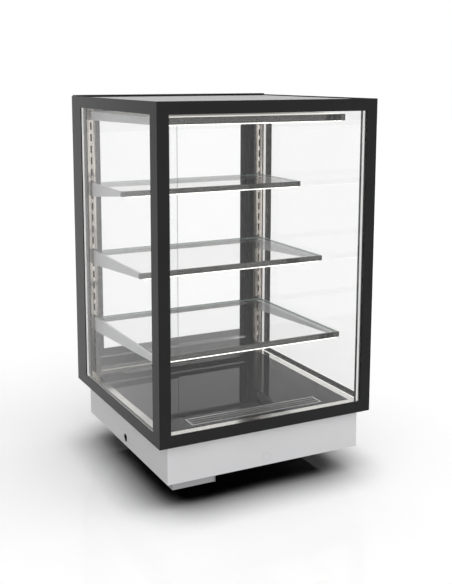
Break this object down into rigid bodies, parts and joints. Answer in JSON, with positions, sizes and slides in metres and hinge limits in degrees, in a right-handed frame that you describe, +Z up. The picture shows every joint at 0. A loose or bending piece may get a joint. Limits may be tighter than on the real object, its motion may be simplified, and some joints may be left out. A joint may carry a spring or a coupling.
{
  "type": "drop-in heated display case",
  "caption": "Square drop-in heated display case: black angle frame, double glazing, hooked glass shelves, heated black glass deck, sliding rear doors and a base that hangs in the counter.",
  "frame": {"origin": "centre of the case's footprint at the level of the counter top, which is the underside of the black bottom rails; the base hangs below it", "axes": "+X to the right seen from the customer's side, +Y towards the staff's sliding doors, +Z up"},
  "size_m": [0.6, 0.6135, 0.934],
  "materials": {
    "black_frame": "satin black powder coat",
    "roof_sheet": "light grey powder coat",
    "stainless": "brushed",
    "polished_steel": "polished",
    "clear_glass": "clear float",
    "black_glass": "black, polished",
    "spacer_bar": "mill",
    "bright_aluminium": "bright anodised",
    "dark_rail": "dark metallic",
    "bracket_grey": "light grey",
    "led_cover": "opal",
    "base_grey": "light grey powder coat",
    "box_grey": "grey powder coat",
    "zinc": "zinc plated",
    "black_plastic": "matt",
    "switch_plastic": "gloss",
    "heater_sheath": "heat-tinted",
    "terminal_white": "matt"
  },
  "bodies": {
    "cabinet": {"front_post_left": "black_frame", "front_post_right": "black_frame", "rear_post_left": "black_frame", "rear_post_right": "black_frame", "bottom_rail_front": "black_frame", "bottom_rail_left": "black_frame", "bottom_rail_right": "black_frame", "top_rail_front": "black_frame", "top_rail_left": "black_frame", "top_rail_right": "black_frame", "rear_sill": "black_frame", "rear_head": "black_frame", "front_glass_outer": "clear_glass", "front_glass_inner": "clear_glass", "side_glass_outer": "clear_glass", "side_glass_inner": "clear_glass", "glass_spacers": "spacer_bar", "top_panel": "roof_sheet", "ceiling_panel": "stainless", "upright_left": "polished_steel", "upright_right": "polished_steel", "canopy_rails": "dark_rail", "canopy_brackets": "bracket_grey", "canopy_panel": "roof_sheet", "canopy_lamps": "led_cover", "door_track": "bright_aluminium", "deck_ledge": "stainless", "base_shell": "base_grey", "base_side_left": "base_grey", "base_side_right": "base_grey", "connection_box": "box_grey", "terminal_block": "terminal_white", "fan_bulkhead": "zinc", "fan_frame": "black_plastic", "heating_element": "heater_sheath", "thermostat_bulb": "zinc", "cable_gland": "black_plastic", "control_panel": "stainless", "screws": "zinc"},
    "door_left": {"door_left_glass": "clear_glass", "door_left_profiles": "black_plastic"},
    "door_right": {"door_right_glass": "clear_glass", "door_right_profiles": "black_plastic"},
    "fan_rotor": {"fan_impeller": "black_plastic"},
    "power_switch": {"rocker_switch": "switch_plastic"},
    "thermostat_knob": {"thermostat_dial": "black_plastic"},
    "deck": {"deck_glass": "black_glass", "deck_inserts": "polished_steel"},
    "shelf_1_frame": {"shelf_1_rails": "dark_rail", "shelf_1_brackets": "bracket_grey", "shelf_1_led": "led_cover"},
    "shelf_1_pane": {"shelf_1_glass": "clear_glass"},
    "shelf_2_frame": {"shelf_2_rails": "dark_rail", "shelf_2_brackets": "bracket_grey", "shelf_2_led": "led_cover"},
    "shelf_2_pane": {"shelf_2_glass": "clear_glass"},
    "shelf_3_frame": {"shelf_3_rails": "dark_rail", "shelf_3_brackets": "bracket_grey", "shelf_3_led": "led_cover"},
    "shelf_3_pane": {"shelf_3_glass": "clear_glass"}
  },
  "joints": [
    {"name": "door_left_slide", "type": "slide", "parent": "cabinet", "child": "door_left", "axis": [1, 0, 0], "range_m": [0, 0.232]},
    {"name": "door_right_slide", "type": "slide", "parent": "cabinet", "child": "door_right", "axis": [-1, 0, 0], "range_m": [0, 0.232]},
    {"name": "fan_spin", "type": "hinge", "parent": "cabinet", "child": "fan_rotor", "pos_m": [0, 0.1245, -0.05], "axis": [0, 1, 0], "continuous": true},
    {"name": "switch_rock", "type": "hinge", "parent": "cabinet", "child": "power_switch", "pos_m": [-0.197, 0.298, 0.03], "axis": [1, 0, 0], "range_deg": [-14, 0]},
    {"name": "thermostat_turn", "type": "hinge", "parent": "cabinet", "child": "thermostat_knob", "pos_m": [-0.141, 0.298, 0.03], "axis": [0, -1, 0], "range_deg": [0, 270]},
    {"name": "deck_lift", "type": "slide", "parent": "cabinet", "child": "deck", "axis": [0, 0, 1], "range_m": [0, 0.03]},
    {"name": "shelf_1_unhook", "type": "slide", "parent": "cabinet", "child": "shelf_1_frame", "axis": [0, 0, 1], "range_m": [0, 0.008]},
    {"name": "shelf_1_pane_lift", "type": "slide", "parent": "shelf_1_frame", "child": "shelf_1_pane", "axis": [0, 0, 1], "range_m": [0, 0.03]},
    {"name": "shelf_2_unhook", "type": "slide", "parent": "cabinet", "child": "shelf_2_frame", "axis": [0, 0, 1], "range_m": [0, 0.008]},
    {"name": "shelf_2_pane_lift", "type": "slide", "parent": "shelf_2_frame", "child": "shelf_2_pane", "axis": [0, 0, 1], "range_m": [0, 0.03]},
    {"name": "shelf_3_unhook", "type": "slide", "parent": "cabinet", "child": "shelf_3_frame", "axis": [0, 0, 1], "range_m": [0, 0.008]},
    {"name": "shelf_3_pane_lift", "type": "slide", "parent": "shelf_3_frame", "child": "shelf_3_pane", "axis": [0, 0, 1], "range_m": [0, 0.03]}
  ]
}
